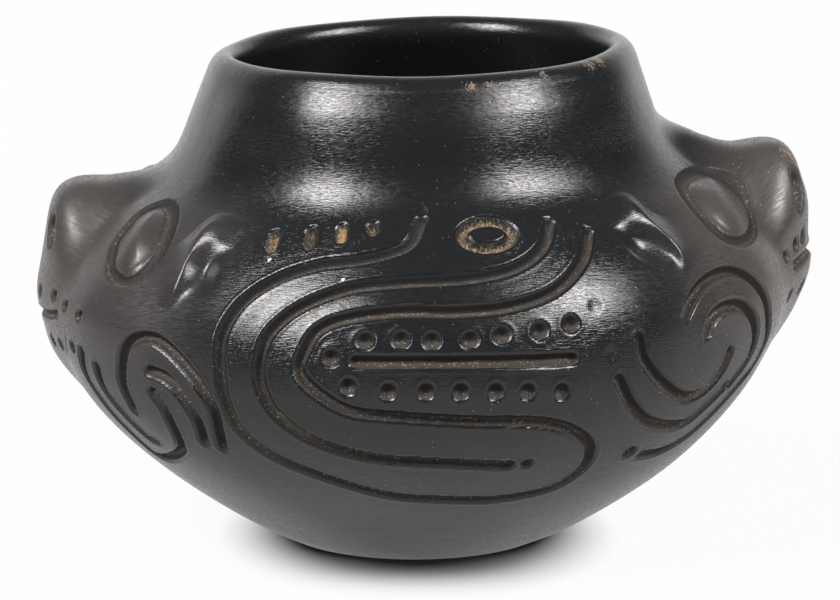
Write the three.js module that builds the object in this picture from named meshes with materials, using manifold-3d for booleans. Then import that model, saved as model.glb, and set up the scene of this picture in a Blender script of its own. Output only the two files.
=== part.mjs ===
// A hand-built blackware bowl with an animal head modelled on each side. Millimetres, +Z up.
// The origin is the middle of the flat foot. The heads face +X and -X, and the front is -Y.
import Module from "manifold-3d";
import * as THREE from "three";
import { mergeVertices } from "three/addons/utils/BufferGeometryUtils.js";

const { degToRad, smoothstep } = THREE.MathUtils;
const wasm = await Module();
wasm.setup();

// Outer form of the vessel as if it were turned on a wheel, from the foot up.
const FOOT_RADIUS = 35;
const BELLY_RADIUS = 92;
const SHOULDER_RADIUS = 69;
const NECK_RADIUS = 60.2;
const LIP_RADIUS = 54.6;
const BOWL_RISE = 57;
const SHOULDER_RISE = 37;
const ROOT_RISE = 13;
const NECK_RISE = 15.4;
const WALL = 7;

// Slopes at which the wall leaves the foot and the shoulder, and how far each curve holds its direction.
const FOOT_SLOPE = degToRad(25);
const SHOULDER_SLOPE = degToRad(37);
const FOOT_PULL = 29;
const BELLY_PULL_DOWN = 19;
const BELLY_PULL_UP = 20;
const SHOULDER_PULL = 14;
const ROOT_PULL = 5;
const LIP_PULL = 8;

// Courses of clay, each cut level before the next was luted on, and the slip-filled joint between them.
const PAT_ABOVE_FLOOR = 2.5;
const COLLAR_ABOVE_SHOULDER = 6;
const COIL_BELOW_INNER_LIP = 3.5;
const LUTE = 0.3;

// What the hand did to the turned form: faces pushed out behind each head, a lean and a tilt.
const FACE_SWELL = 4.5;
const FACE_FULL_ANGLE = degToRad(25);
const FACE_EDGE_ANGLE = degToRad(48);
const FACE_BELOW_BELLY = 12;
const FACE_FULL_ABOVE_BELLY = 13;
const FACE_TOP_FULL_ABOVE_BELLY = 28;
const FACE_TOP_ABOVE_BELLY = 46;
const LEAN = 0.0157;
const TILT = 0.03;
const TILT_START_BELOW_BELLY = 42;
const TILT_FULL_ABOVE_BELLY = 23;

// Each head was shaped by eye, so each has its own places and heights. A name that ends in Up is a
// distance up the wall from the belly, and heights stand off the pushed-out wall.
const HEADS = [
  {
    name: "left",
    facing: Math.PI,
    mouthUp: 4.5,
    noseUp: 29,
    lowerLipHeight: 2,
    upperLipHeight: 2.8,
    noseRootHeight: 5.4,
    noseHeight: 12,
    bridgeHeight: 6.4,
    browHeight: 1.6,
    eyeAngle: degToRad(29.5),
    eyeUp: 33,
    earAngle: degToRad(43.5),
    earUp: 31,
    earHalfLength: 15.5,
    earSlant: -0.06,
  },
  {
    name: "right",
    facing: 0,
    mouthUp: 10,
    noseUp: 32.5,
    lowerLipHeight: 4.6,
    upperLipHeight: 5.6,
    noseRootHeight: 9,
    noseHeight: 17,
    bridgeHeight: 9,
    browHeight: 4.4,
    eyeAngle: degToRad(24.5),
    eyeUp: 35,
    earAngle: degToRad(45),
    earUp: 36,
    earHalfLength: 13,
    earSlant: 0.25,
  },
];

// Muzzle and jaw of both heads. Breadths are half of the whole.
const MOUTH_SLIT = 1.6;
const UPPER_LIP_HALF_BREADTH = 29;
const NOSE_HALF_BREADTH = 21;
const NOSE_ROOT_BELOW = 9;
const BRIDGE_ABOVE_NOSE = 10;
const BRIDGE_HALF_BREADTH = 16;
const BROW_ABOVE_NOSE = 22;
const BROW_HALF_BREADTH = 13;
const MUZZLE_TOP_ABOVE_NOSE = 33;
const MUZZLE_TOP_HALF_BREADTH = 7;
const LOWER_LIP_HALF_BREADTH = 26;
const CHIN_BELOW_MOUTH = 10;
const CHIN_HEIGHT = 2.4;
const CHIN_HALF_BREADTH = 22;
const JAW_END_BELOW_BELLY = 16;
const JAW_END_HALF_BREADTH = 13;
const FEATHER = 0.4;

// Eyes are low almonds that lean to the nose as they rise, each in a ring cut round it. Ears are ridges
// whose crest leans away from the face, with a thumb-pressed hollow between them and the panel.
const EYE_HALF_LENGTH = 9.5;
const EYE_HALF_BREADTH = 4.6;
const EYE_TIP_HALF_BREADTH = 1.2;
const EYE_HEIGHT = 1.8;
const EYE_SLANT = -0.31;
const EYE_RING_HALF_LENGTH = 12;
const EYE_RING_HALF_BREADTH = 8.6;
const EAR_HALF_BREADTH = 6.5;
const EAR_TIP_HALF_BREADTH = 2.5;
const EAR_HEIGHT = 4.2;
const EAR_CREST = 0.3;
const HOLLOW_HALF_BREADTH = 5;
const HOLLOW_DEPTH = 2.4;

// Lines drawn on the panel and under the heads. A place is degrees round from the front, to the right,
// and millimetres up the wall from the belly. The back has the same lines half a turn on.
const FRONT = degToRad(-90);
const BACK = degToRad(90);
const OUTER_SCROLL = [
  [-4, 45.5], [-5.5, 39], [-8.5, 36], [-14.5, 33.5], [-21.5, 32], [-28, 28], [-33, 21.5], [-35.5, 13.5],
  [-35.5, 6.5], [-34.5, -4], [-33, -12.5], [-28.5, -21], [-19.5, -29], [-9.5, -35.5], [0.5, -37.5],
  [11.5, -38.5], [21.5, -35.5], [26, -28.5], [25.5, -20], [20.5, -13], [14, -9.5], [3.5, -8], [-6.5, -6.5],
  [-14, -5], [-19, -0.5], [-22, 4.5], [-21.5, 9.5], [-19.5, 15], [-15, 18], [-7, 19.5], [1.5, 19],
  [10, 19.5], [18, 22.5], [24.5, 29.5], [28.5, 37.5],
];
const INNER_SCROLL = [
  [21.5, 42], [18, 34.5], [12, 29.5], [4, 27.5], [-7, 27], [-15.5, 25.5], [-23, 20.5], [-27.5, 13.5],
  [-28.5, 6.5], [-28, 0], [-25.5, -7.5], [-20, -14.5], [-11, -19.5], [0, -21.5], [11.5, -23.5],
];
const BAR = [[-13.5, 7.5], [2, 7], [19.5, 5.5]];
const LEFT_SCROLLS = [
  [[-56, -13], [-56, -6], [-55, 0], [-54, 5.5], [-52, 8.5], [-48.5, 9], [-44, 5.5], [-39.5, -0.5], [-37, -8],
    [-38, -20.5]],
  [[-49, 0.5], [-45.5, -1], [-42.5, -6], [-41, -12], [-41.5, -19.5]],
  [[-49, -5.5], [-47.5, -10.5], [-47.5, -18.5], [-49.5, -25.5], [-56.5, -31.5], [-62.5, -32.5], [-65, -24.5],
    [-67, -16.5], [-68.5, -7.5], [-66, 1]],
  [[-62, -2], [-63, -9], [-60.5, -17], [-58, -23.5], [-56, -24.5]],
];
const RIGHT_SCROLLS = [
  [[41.5, 11], [44.5, 15], [48.5, 18], [53.5, 19], [57.5, 16.5], [60.5, 11.5], [63, 4.5], [65.5, -3],
    [65, -9.5], [60.5, -14], [56, -19.5], [51.5, -25.5], [45.5, -28.5], [39.5, -27.5]],
  [[46, 5.5], [47.5, 8.5], [51, 10.5], [55, 9.5], [58, 5], [59.5, 0], [59.5, -5.5], [56.5, -10.5]],
  [[31.5, 8], [32.5, 2], [36.5, -4.5], [42, -9.5], [47, -9.5], [50.5, -6], [52, -1]],
  [[27.5, -1], [30.5, -8], [35.5, -14.5], [42, -18], [47, -18.5], [51, -14.5], [54.5, -11]],
];
const PANEL_RING = [8.5, 40];
const PANEL_RING_HALF_BREADTH = 6.2;
const PANEL_RING_HALF_HEIGHT = 4.2;

// The tools that made the marks. Their flanks slope from the floor of a mark out past the wall's face.
const LINE_HALF_BREADTH = 1.7;
const LINE_FLOOR_HALF_BREADTH = 0.6;
const LINE_DEPTH = 1.5;
const EYE_LINE_HALF_BREADTH = 2.2;
const EYE_LINE_DEPTH = 1.3;
const TOOL_OUT_OF_WALL = 0.8;
const TOOL_TOP = 2;
const RING_OVERLAP = 0.1;

// Fineness of the facets, across and along each applied piece. A drawn line has its floor and two flanks
// across, and its steps from one place to the next. The halvings search for a height on the wall.
const TURNS = 60;
const COURSE_STEP = 6.5;
const LIP_STEPS = 6;
const MUZZLE_FACETS = [10, 15];
const JAW_FACETS = [10, 6];
const EYE_FACETS = [6, 8];
const EAR_FACETS = [6, 8];
const LINE_FACETS = 3;
const LINE_STEPS = 1;
const RING_STEPS = 5;
const HOLLOW_FACETS = [8, 6];
const HALVINGS = 40;

// Heights of the turned form that the sizes above add up to.
const SHOULDER_HEIGHT = BOWL_RISE + SHOULDER_RISE;
const NECK_HEIGHT = SHOULDER_HEIGHT + ROOT_RISE;
const LIP_HEIGHT = NECK_HEIGHT + NECK_RISE;

// The outline of the turned form: x is the radius and y the height.
const foot = new THREE.Vector2(FOOT_RADIUS, 0);
const belly = new THREE.Vector2(BELLY_RADIUS, BOWL_RISE);
const shoulder = new THREE.Vector2(SHOULDER_RADIUS, SHOULDER_HEIGHT);
const neck = new THREE.Vector2(NECK_RADIUS, NECK_HEIGHT);
const lip = new THREE.Vector2(LIP_RADIUS, LIP_HEIGHT);
const up = new THREE.Vector2(0, 1);
const footDirection = new THREE.Vector2(Math.cos(FOOT_SLOPE), Math.sin(FOOT_SLOPE));
const shoulderDirection = new THREE.Vector2(-Math.cos(SHOULDER_SLOPE), Math.sin(SHOULDER_SLOPE));
const neckDirection = lip.clone().sub(neck).normalize();

// A curve that leaves its start along one direction and arrives at its end along another.
function bend(start, startDirection, startPull, end, endDirection, endPull) {
  const leaving = start.clone().addScaledVector(startDirection, startPull);
  const arriving = end.clone().addScaledVector(endDirection, -endPull);
  return new THREE.CubicBezierCurve(start, leaving, arriving, end);
}

const bowlCurve = bend(foot, footDirection, FOOT_PULL, belly, up, BELLY_PULL_DOWN);
const shoulderCurve = bend(belly, up, BELLY_PULL_UP, shoulder, shoulderDirection, SHOULDER_PULL);
const rootCurve = bend(shoulder, shoulderDirection, ROOT_PULL, neck, neckDirection, ROOT_PULL);
const neckLine = new THREE.LineCurve(neck, lip);
const outline = new THREE.CurvePath();
outline.curves.push(bowlCurve, shoulderCurve, rootCurve, neckLine);

// Lengths along the wall, measured from the edge of the foot.
const WALL_LENGTH = outline.getLength();
const BELLY_ALONG = bowlCurve.getLength();

// A point of the turned form that stands off its outer face by lift.
function wallPoint(along, lift) {
  const share = along / WALL_LENGTH;
  const point = outline.getPoint(share);
  const tangent = outline.getTangent(share);
  return new THREE.Vector2(point.x + tangent.y * lift, point.y - tangent.x * lift);
}

// Length along the wall at which a face of it reaches a height. Both faces rise all the way.
function alongAt(height, lift) {
  let low = 0;
  let high = WALL_LENGTH;
  for (let halving = 0; halving < HALVINGS; halving += 1) {
    const middle = (low + high) / 2;
    const below = wallPoint(middle, lift).y < height;
    low = below ? middle : low;
    high = below ? high : middle;
  }
  return low;
}

// Heights of the level joints between the courses.
const PAT_HEIGHT = wallPoint(0, -WALL).y + PAT_ABOVE_FLOOR;
const COLLAR_HEIGHT = SHOULDER_HEIGHT + COLLAR_ABOVE_SHOULDER;
const COIL_HEIGHT = wallPoint(WALL_LENGTH, -WALL).y - COIL_BELOW_INNER_LIP;

// Moves a point of the turned form to where the hand-built vessel has it.
function handBuilt(point) {
  const radius = Math.hypot(point.x, point.y);
  const fromHead = radius > 0 ? Math.acos(Math.abs(point.x) / radius) : 0;
  const aboveBelly = point.z - BOWL_RISE;
  const rising = smoothstep(aboveBelly, -FACE_BELOW_BELLY, FACE_FULL_ABOVE_BELLY);
  const falling = smoothstep(aboveBelly, FACE_TOP_FULL_ABOVE_BELLY, FACE_TOP_ABOVE_BELLY);
  const beside = smoothstep(fromHead, FACE_FULL_ANGLE, FACE_EDGE_ANGLE);
  const swell = FACE_SWELL * rising * (1 - falling) * (1 - beside);
  const grown = radius > 0 ? 1 + swell / radius : 1;
  const x = point.x * grown;
  const tilting = smoothstep(aboveBelly, -TILT_START_BELOW_BELLY, TILT_FULL_ABOVE_BELLY);
  return new THREE.Vector3(x + LEAN * point.z, point.y * grown, point.z + TILT * x * tilting);
}

// Carries every corner of a geometry through a function of its position.
function reshape(geometry, move) {
  const position = geometry.getAttribute("position");
  const corner = new THREE.Vector3();
  for (let index = 0; index < position.count; index += 1) {
    corner.fromBufferAttribute(position, index);
    const moved = move(corner);
    position.setXYZ(index, moved.x, moved.y, moved.z);
  }
  geometry.computeVertexNormals();
  return geometry;
}

// The spot at an angle round the axis and a distance up the wall from the belly, off its face by lift.
function spotOnWall(angle, upWall, lift) {
  const point = wallPoint(BELLY_ALONG + upWall, lift);
  return handBuilt(new THREE.Vector3(point.x * Math.cos(angle), point.x * Math.sin(angle), point.y));
}

function wallRadius(upWall) {
  return wallPoint(BELLY_ALONG + upWall, 0).x;
}

function blackware(color, roughness) {
  return new THREE.MeshStandardMaterial({ color, roughness, metalness: 0 });
}

function piece(name, geometry, material) {
  const mesh = new THREE.Mesh(geometry, material);
  mesh.name = name;
  return mesh;
}

// Points along one face of the wall, from one length to another in even steps.
function wallRun(from, to, lift) {
  const steps = Math.max(1, Math.ceil(Math.abs(to - from) / COURSE_STEP));
  return Array.from({ length: steps + 1 }, (_, step) => wallPoint(from + ((to - from) * step) / steps, lift));
}

// A ring of clay turned from a closed section, which starts and ends on the axis or on itself.
function turned(section) {
  const geometry = new THREE.LatheGeometry(section, TURNS);
  geometry.rotateX(Math.PI / 2);
  return reshape(geometry, handBuilt);
}

function basePat() {
  const top = PAT_HEIGHT - LUTE / 2;
  const outer = wallRun(0, alongAt(top, 0), 0);
  const inner = wallRun(alongAt(top, -WALL), 0, -WALL);
  const floorHeight = inner.at(-1).y;
  return turned([new THREE.Vector2(0, 0), ...outer, ...inner, new THREE.Vector2(0, floorHeight)]);
}

function wallCourse(fromHeight, toHeight) {
  const bottom = fromHeight + LUTE / 2;
  const top = toHeight - LUTE / 2;
  const outer = wallRun(alongAt(bottom, 0), alongAt(top, 0), 0);
  const inner = wallRun(alongAt(top, -WALL), alongAt(bottom, -WALL), -WALL);
  return turned([...outer, ...inner, outer[0]]);
}

function rimCoil() {
  const bottom = COIL_HEIGHT + LUTE / 2;
  const outer = wallRun(alongAt(bottom, 0), WALL_LENGTH, 0);
  const inner = wallRun(WALL_LENGTH, alongAt(bottom, -WALL), -WALL);
  const crown = bend(lip, neckDirection, LIP_PULL, inner[0], neckDirection.clone().negate(), LIP_PULL);
  const overLip = crown.getPoints(LIP_STEPS).slice(1, -1);
  return turned([...outer, ...overLip, ...inner, outer[0]]);
}

// A row of an applied piece: distance up the wall from the belly, height and half breadth.
function row(upWall, height, halfBreadth) {
  return new THREE.Vector3(upWall, height, halfBreadth);
}

// Clay laid on the wall along a spine of rows. The section gives the share of the height across it,
// and angleAt gives the direction of the spine at a distance up the wall. The slab runs from -1 to 1
// across the spine and from 0 to 1 along it, and its lower face becomes the bed.
function laid(rows, [across, along], section, angleAt) {
  const spine = new THREE.CatmullRomCurve3(rows);
  const slab = new THREE.BoxGeometry(2, 1, 1, across, along, 1).translate(0, 1 / 2, 0);
  return reshape(slab, (corner) => {
    const here = spine.getPoint(corner.y);
    const lift = corner.z > 0 ? LUTE + FEATHER + here.y * section(corner.x) : LUTE;
    const radius = wallRadius(here.x);
    return spotOnWall(angleAt(here.x, radius) + (corner.x * here.z) / radius, here.x, lift);
  });
}

// Rounded section that fades into the wall at both edges.
function swelling(across) {
  return (1 + Math.cos(Math.PI * across)) / 2;
}

// Section of an ear, with its crest beside the middle on the side away from the face.
function pinched(side) {
  return (across) => {
    const fromCrest = side * across - EAR_CREST;
    return swelling(fromCrest / (fromCrest > 0 ? 1 - EAR_CREST : 1 + EAR_CREST));
  };
}

function muzzle(head) {
  const rows = [
    row(head.mouthUp + MOUTH_SLIT / 2, head.upperLipHeight, UPPER_LIP_HALF_BREADTH),
    row(head.noseUp - NOSE_ROOT_BELOW, head.noseRootHeight, UPPER_LIP_HALF_BREADTH),
    row(head.noseUp, head.noseHeight, NOSE_HALF_BREADTH),
    row(head.noseUp + BRIDGE_ABOVE_NOSE, head.bridgeHeight, BRIDGE_HALF_BREADTH),
    row(head.noseUp + BROW_ABOVE_NOSE, head.browHeight, BROW_HALF_BREADTH),
    row(head.noseUp + MUZZLE_TOP_ABOVE_NOSE, 0, MUZZLE_TOP_HALF_BREADTH),
  ];
  return laid(rows, MUZZLE_FACETS, swelling, () => head.facing);
}

function jaw(head) {
  const rows = [
    row(-JAW_END_BELOW_BELLY, 0, JAW_END_HALF_BREADTH),
    row(head.mouthUp - CHIN_BELOW_MOUTH, CHIN_HEIGHT, CHIN_HALF_BREADTH),
    row(head.mouthUp - MOUTH_SLIT / 2, head.lowerLipHeight, LOWER_LIP_HALF_BREADTH),
  ];
  return laid(rows, JAW_FACETS, swelling, () => head.facing);
}

function eye(head, side) {
  const rows = [
    row(head.eyeUp - EYE_HALF_LENGTH, 0, EYE_TIP_HALF_BREADTH),
    row(head.eyeUp, EYE_HEIGHT, EYE_HALF_BREADTH),
    row(head.eyeUp + EYE_HALF_LENGTH, 0, EYE_TIP_HALF_BREADTH),
  ];
  return laid(rows, EYE_FACETS, swelling, (upWall, radius) => {
    return head.facing + side * (head.eyeAngle + (EYE_SLANT * (upWall - head.eyeUp)) / radius);
  });
}

function ear(head, side) {
  const rows = [
    row(head.earUp - head.earHalfLength, 0, EAR_TIP_HALF_BREADTH),
    row(head.earUp, EAR_HEIGHT, EAR_HALF_BREADTH),
    row(head.earUp + head.earHalfLength, 0, EAR_TIP_HALF_BREADTH),
  ];
  return laid(rows, EAR_FACETS, pinched(side), (upWall, radius) => earAngleAt(head, side, upWall, radius));
}

function earAngleAt(head, side, upWall, radius) {
  return head.facing + side * (head.earAngle + (head.earSlant * (upWall - head.earUp)) / radius);
}

// Places on the wall as vectors: x is the angle round the axis and y the distance up from the belly.
function placesFrom(facing, line) {
  return line.map(([turn, upWall]) => new THREE.Vector2(facing + degToRad(turn), upWall));
}

// The two halves of a slanting oval round a place, each a line of places that runs on over the other's ends.
function ovalHalves(centre, halfBreadth, halfHeight, slant) {
  const radius = wallRadius(centre.y);
  return [0, Math.PI].map((start) =>
    Array.from({ length: RING_STEPS + 1 }, (_, step) => {
      const turn = start - RING_OVERLAP + ((Math.PI + 2 * RING_OVERLAP) * step) / RING_STEPS;
      const rise = halfHeight * Math.sin(turn);
      const aside = halfBreadth * Math.cos(turn) + slant * rise;
      return new THREE.Vector2(centre.x + aside / radius, centre.y + rise);
    }),
  );
}

// A blunt tool drawn through places on the wall. The bar runs from -1 to 1 across the line and from 0 to 1
// along it, and its lower face gets the floor and the flanks of the mark.
function drawnTool(places, halfBreadth, depth) {
  const knots = places.map((place) => new THREE.Vector3(place.x * BELLY_RADIUS, place.y));
  const spine = new THREE.CatmullRomCurve3(knots);
  const steps = LINE_STEPS * (places.length - 1);
  const bar = new THREE.BoxGeometry(2, 1, 1, LINE_FACETS, steps, 1).translate(0, 1 / 2, 0);
  const flare = ((halfBreadth - LINE_FLOOR_HALF_BREADTH) * TOOL_OUT_OF_WALL) / depth;
  return reshape(bar, (corner) => {
    const here = spine.getPoint(corner.y);
    const radius = wallRadius(here.y);
    const heading = spine.getTangent(corner.y);
    heading.x *= radius / BELLY_RADIUS;
    heading.normalize();
    const onFlank = Math.abs(corner.x) === 1;
    const offset = Math.sign(corner.x) * (onFlank ? halfBreadth + flare : LINE_FLOOR_HALF_BREADTH);
    const lowerLift = onFlank ? TOOL_OUT_OF_WALL : -depth;
    const angle = here.x / BELLY_RADIUS + (heading.y * offset) / radius;
    return spotOnWall(angle, here.y - heading.x * offset, corner.z > 0 ? TOOL_TOP : lowerLift);
  });
}

// The thumb that pressed the hollow beside an ear, as an oval ball with its middle on the wall's face.
function thumb(head, side) {
  const ball = new THREE.SphereGeometry(1, ...HOLLOW_FACETS);
  return reshape(ball, (corner) => {
    const upWall = head.earUp + head.earHalfLength * corner.y;
    const radius = wallRadius(upWall);
    const fromEar = EAR_HALF_BREADTH + HOLLOW_HALF_BREADTH;
    const aside = side * fromEar + HOLLOW_HALF_BREADTH * corner.x;
    const angle = earAngleAt(head, side, upWall, radius) + aside / radius;
    return spotOnWall(angle, upWall, HOLLOW_DEPTH * corner.z);
  });
}

// Seen from above, the front at -Y lies anticlockwise of the left head and clockwise of the right one.
function sidesOf(head) {
  const frontSide = head.facing > 0 ? 1 : -1;
  return [["front", frontSide], ["rear", -frontSide]];
}

function allTools() {
  const tools = [];
  for (const facing of [FRONT, BACK]) {
    const lines = [OUTER_SCROLL, INNER_SCROLL, BAR, ...LEFT_SCROLLS, ...RIGHT_SCROLLS];
    const [ringCentre] = placesFrom(facing, [PANEL_RING]);
    const ring = ovalHalves(ringCentre, PANEL_RING_HALF_BREADTH, PANEL_RING_HALF_HEIGHT, 0);
    for (const places of [...lines.map((line) => placesFrom(facing, line)), ...ring]) {
      tools.push(drawnTool(places, LINE_HALF_BREADTH, LINE_DEPTH));
    }
  }
  for (const head of HEADS) {
    for (const [, side] of sidesOf(head)) {
      const centre = new THREE.Vector2(head.facing + side * head.eyeAngle, head.eyeUp);
      const slant = side * EYE_SLANT;
      for (const half of ovalHalves(centre, EYE_RING_HALF_BREADTH, EYE_RING_HALF_LENGTH, slant)) {
        tools.push(drawnTool(half, EYE_LINE_HALF_BREADTH, EYE_LINE_DEPTH));
      }
      tools.push(thumb(head, side));
    }
  }
  return tools;
}

// A closed geometry as a solid that can be cut, and back.
function solidOf(geometry) {
  geometry.deleteAttribute("normal");
  geometry.deleteAttribute("uv");
  const merged = mergeVertices(geometry);
  const vertProperties = merged.getAttribute("position").array;
  const triVerts = new Uint32Array(merged.getIndex().array);
  return new wasm.Manifold(new wasm.Mesh({ numProp: 3, vertProperties, triVerts }));
}

function geometryOf(solid) {
  const { vertProperties, triVerts } = solid.getMesh();
  const geometry = new THREE.BufferGeometry();
  geometry.setAttribute("position", new THREE.BufferAttribute(vertProperties, 3));
  geometry.setIndex(new THREE.BufferAttribute(triVerts, 1));
  geometry.computeVertexNormals();
  return geometry;
}

const carvingTools = allTools().map(solidOf);

function carved(wall) {
  return geometryOf(carvingTools.reduce((solid, tool) => solid.subtract(tool), solidOf(wall)));
}

// Burnished wall, worn rim, and the browner sheen of the modelled heads.
const wallClay = blackware(0x1b1c1e, 0.3);
const rimClay = blackware(0x232120, 0.4);
const headClay = blackware(0x252220, 0.36);

const bowl = new THREE.Group();
bowl.add(
  piece("base_pat", basePat(), wallClay),
  piece("lower_wall", carved(wallCourse(PAT_HEIGHT, BOWL_RISE)), wallClay),
  piece("shoulder_wall", carved(wallCourse(BOWL_RISE, COLLAR_HEIGHT)), wallClay),
  piece("neck_collar", wallCourse(COLLAR_HEIGHT, COIL_HEIGHT), wallClay),
  piece("rim_coil", rimCoil(), rimClay),
);
for (const head of HEADS) {
  bowl.add(piece(`${head.name}_muzzle`, muzzle(head), headClay));
  bowl.add(piece(`${head.name}_jaw`, jaw(head), headClay));
  for (const [end, side] of sidesOf(head)) {
    bowl.add(piece(`${head.name}_${end}_eye`, eye(head, side), headClay));
    bowl.add(piece(`${head.name}_${end}_ear`, ear(head, side), headClay));
  }
}

export default bowl;
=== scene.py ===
"""Looks of a hand-built blackware bowl with an animal head modelled on each side.

A place on the wall is an angle round the axis and a distance up the wall from the belly, in
millimetres. Every form is a height off that wall, and the finished meshes are in metres.
"""

import math
from types import SimpleNamespace
from typing import NamedTuple

import bpy
import numpy as np
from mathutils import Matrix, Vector


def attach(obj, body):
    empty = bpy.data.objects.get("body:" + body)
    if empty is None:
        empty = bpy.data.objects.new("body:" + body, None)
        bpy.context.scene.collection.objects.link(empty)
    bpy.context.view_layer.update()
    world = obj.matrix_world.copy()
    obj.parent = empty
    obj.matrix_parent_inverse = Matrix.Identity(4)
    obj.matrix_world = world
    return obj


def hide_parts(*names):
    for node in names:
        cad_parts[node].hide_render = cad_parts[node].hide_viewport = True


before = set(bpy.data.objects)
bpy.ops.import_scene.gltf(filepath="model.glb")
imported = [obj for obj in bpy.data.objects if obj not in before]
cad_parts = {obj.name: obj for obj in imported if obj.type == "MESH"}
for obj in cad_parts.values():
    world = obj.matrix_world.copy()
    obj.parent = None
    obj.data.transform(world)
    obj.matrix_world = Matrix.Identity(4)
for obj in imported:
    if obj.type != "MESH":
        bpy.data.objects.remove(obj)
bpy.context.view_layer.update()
MM = 0.001

# The turned form, close to the part's source: radii, rises, slopes and how far each curve holds its course.
FOOT_RADIUS = 35
BELLY_RADIUS = 92
SHOULDER_RADIUS = 69
NECK_RADIUS = 60.2
LIP_RADIUS = 54.6
BOWL_RISE = 57
SHOULDER_RISE = 37
ROOT_RISE = 13
NECK_RISE = 15.4
WALL = 7
FOOT_SLOPE = math.radians(25)
SHOULDER_SLOPE = math.radians(37)
FOOT_PULL = 29
BELLY_PULL_DOWN = 19
BELLY_PULL_UP = 20
SHOULDER_PULL = 14
ROOT_PULL = 5
LIP_PULL = 7
PAT_ABOVE_FLOOR = 2.5
COLLAR_ABOVE_SHOULDER = 6
COIL_BELOW_INNER_LIP = 3.5

# What the hand did to it: faces pushed out behind the heads and left satin a little further round, a lean,
# a tilt, a wavy lip, uneven walls and a neck that is fuller at its front and back.
FACE_SWELL = 4.5
FACE_FULL_ANGLE = math.radians(25)
FACE_EDGE_ANGLE = math.radians(48)
SATIN_FULL_ANGLE = math.radians(28)
SATIN_EDGE_ANGLE = math.radians(60)
FACE_BELOW_BELLY = 12
FACE_FULL_ABOVE_BELLY = 13
FACE_TOP_FULL_ABOVE_BELLY = 28
FACE_TOP_ABOVE_BELLY = 46
LEAN = 0.0157
TILT = 0.03
TILT_START_BELOW_BELLY = 42
TILT_FULL_ABOVE_BELLY = 23
LIP_WAVE_START_ABOVE_BELLY = 50
LIP_WAVE_FULL_ABOVE_BELLY = 66
# Waves round the lip: their number, height and phase. Those in the wall also turn with each millimetre up,
# by the second value.
LIP_WAVES = [(2, 0.22, 0.6), (3, 0.2, 2.0), (7, 0.1, 4.1)]
WALL_WAVES = [(4, 0.03, 0.18, 0.4), (7, -0.05, 0.12, 2.2), (11, 0.11, 0.08, 5.0)]
EVEN_ABOVE_FOOT = 12
NECK_FULLNESS = 2.2
LIP_FALL_SHARE = 0.3
NECK_FULLEST_BELOW_LIP = 6.5
NECK_FULL_FROM_BELOW_LIP = 28
NECK_FULL_ANGLE = math.radians(42)
NECK_PLAIN_ANGLE = math.radians(72)

# Muzzle and jaw of both heads, close to the part's source. Breadths are half of the whole. At its reach to
# either side, a mouth has drooped by its head's own measure.
LIP_HALF_BREADTH = 29
NOSE_UNDER_HALF_BREADTH = 25.5
NOSE_HALF_BREADTH = 21
NOSE_FULLNESS = 1.6
NOSE_UNDER_BELOW = 5
NOSE_ROOT_BELOW = 9
BRIDGE_ABOVE_NOSE = 10
BRIDGE_HALF_BREADTH = 18
BROW_ABOVE_NOSE = 22
BROW_HALF_BREADTH = 17
MUZZLE_TOP_ABOVE_NOSE = 33
MUZZLE_TOP_HALF_BREADTH = 18
CHIN_BELOW_MOUTH = 10
CHIN_HALF_BREADTH = 22
JAW_END_HALF_BREADTH = 13
LIP_ROUNDING = 3
MOUTH_DROOP_REACH = 25

# Ears rise gently from the cheek to a crest that is round as a finger at its top and crisp lower down, and
# drop into a thumb-pressed hollow beside the panel. Shares run along the crest, from its top down.
EAR_HEIGHT = 2.2
EAR_FINGER_SHARE = 0.28
EAR_CRISP_SHARE = 0.62
EAR_FINGER_CHEEK_BREADTH = 7
EAR_FINGER_PANEL_BREADTH = 10
EAR_CHEEK_BREADTH = 11
EAR_PANEL_BREADTH = 2.6
EAR_SHARES = [0, 0.16, 0.5, 0.8, 1]
EAR_HEIGHT_SHARES = [0, 1.1, 1, 0.75, 0]
EAR_PAST_CREST = 4
EAR_NEAR_SHARE = 0.5
EAR_NEAR_DISTANCE = 22
HOLLOW_SHARE = 0.58
HOLLOW_HALF_LENGTH = 8.5
HOLLOW_PANEL_BREADTH = 6.5

# An eye's almond is a dome under a roof with its crest off the middle. Its edge is a share of its ring.
ALMOND_HEIGHT = 2.6
ALMOND_EDGE = 0.8
ALMOND_CREST_ASIDE = 0.25
ALMOND_ROOF_FALL = 0.7
ALMOND_FULLNESS = 0.7


class Tool(NamedTuple):
    """A mark's size in millimetres, how flat its floor is, and how far tan fills it, from 0 to 1."""

    half_breadth: float
    depth: float
    flatness: float = 1.6
    tan: float = 0


LINE = Tool(1.75, 2)
RING = Tool(1.75, 2, tan=0.55)
DOT = Tool(2.35, 1.9, flatness=2)
WHISKER = Tool(1.75, 1.9, flatness=2)
EYE_LINE = Tool(1.75, 0.9, flatness=5)
NOSTRIL = Tool(2.1, 2.4, tan=0.2)
MOUTH = Tool(1.4, 1.6, tan=0.35)
DIMPLE = Tool(2.2, 0.3)

# The slopes of a mark that face up and take dust and painted light, the rest taking painted shade, the burr
# beside a deep mark, and how many half breadths a mark reaches.
DUST_AND_LIGHT_SLOPES = (-0.4, 0.1)
BURR_AT = 1.25
BURR_SPREAD = 0.25
BURR_HEIGHT = 0.1
BURR_FROM_DEPTH = 1
MARK_REACH = 2

# Fineness of the meshes, the share of the texture that their rows fill, and how far the wall lies under the
# feathered edge of an applied piece.
CURVE_POINTS = 300
COLUMNS = 1080
ROW_STEP = 0.55
INNER_STEP = 3
CROWN_ROWS = 14
PATCH_STEP = 0.55
MARK_STEP = 0.4
EAR_COLUMNS = 42
EYE_ROWS = 22
EYE_MIDDLE_SHARE = 0.03
FOOT_RINGS = 6
FOOT_MIDDLE_RADIUS = 1
STRIP_SHARE = 0.96
UNDERLAP = 0.08
UNDERLAP_RUN = 0.8
BED_DEPTH = 0.5

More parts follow.
